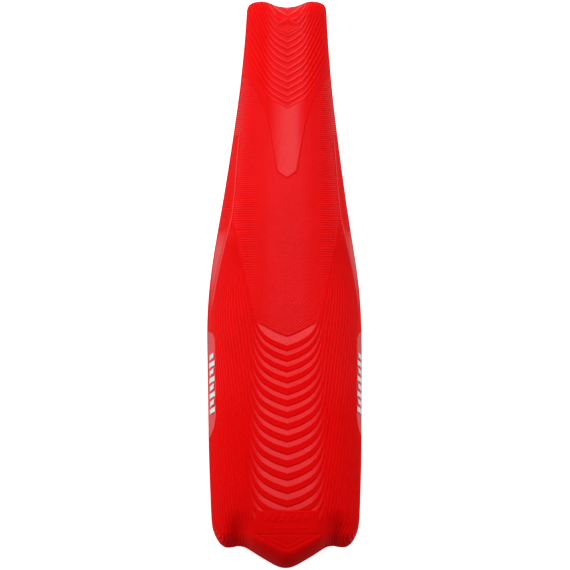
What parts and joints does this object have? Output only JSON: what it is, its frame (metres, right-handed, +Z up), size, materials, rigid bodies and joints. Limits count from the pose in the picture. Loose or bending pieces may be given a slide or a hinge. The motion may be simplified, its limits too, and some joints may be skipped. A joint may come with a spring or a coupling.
{
  "type": "motorcycle seat",
  "caption": "Long narrow off-road motorcycle seat with a moulded ribbed grip cover, foam core, ribbed plastic base, steel hooks and side mounting brackets.",
  "frame": {"origin": "centre of the seat's bounding box in X and Y, at its lowest level in Z", "axes": "+Y lengthways towards the front (tank) end, +Z up through the riding surface, +X to the rider's right"},
  "size_m": [0.183, 0.6676, 0.1144],
  "materials": {
    "cover_rubber": "matt moulded, satin on the smooth centre and side panels",
    "foam": "open-cell polyurethane foam, matt",
    "base_plastic": "matt moulded polypropylene",
    "hook_steel": "zinc plated sheet steel",
    "sleeve_steel": "turned, zinc plated",
    "bolt_steel": "zinc plated",
    "black_rubber": "matt moulded",
    "white_graphic": "satin printed film"
  },
  "bodies": {
    "root": {"seat_cover": "cover_rubber", "seat_base": "base_plastic", "foam_core": "foam", "bracket_left": "hook_steel", "grommet_left": "black_rubber", "sleeve_left": "sleeve_steel", "bracket_bolt_left_rear": "bolt_steel", "tee_nut_left_rear": "bolt_steel", "bracket_bolt_left_front": "bolt_steel", "tee_nut_left_front": "bolt_steel", "bracket_right": "hook_steel", "grommet_right": "black_rubber", "sleeve_right": "sleeve_steel", "bracket_bolt_right_rear": "bolt_steel", "tee_nut_right_rear": "bolt_steel", "bracket_bolt_right_front": "bolt_steel", "tee_nut_right_front": "bolt_steel", "front_hook_plate": "hook_steel", "cross_tube_hook": "hook_steel", "front_hook_rivet_left": "hook_steel", "cross_tube_hook_rivet_left": "hook_steel", "front_hook_rivet_right": "hook_steel", "cross_tube_hook_rivet_right": "hook_steel", "pad_front_left": "black_rubber", "pad_mid_left": "black_rubber", "pad_rear_left": "black_rubber", "pad_front_right": "black_rubber", "pad_mid_right": "black_rubber", "pad_rear_right": "black_rubber", "side_graphic_left": "white_graphic", "side_graphic_right": "white_graphic"}
  },
  "joints": []
}
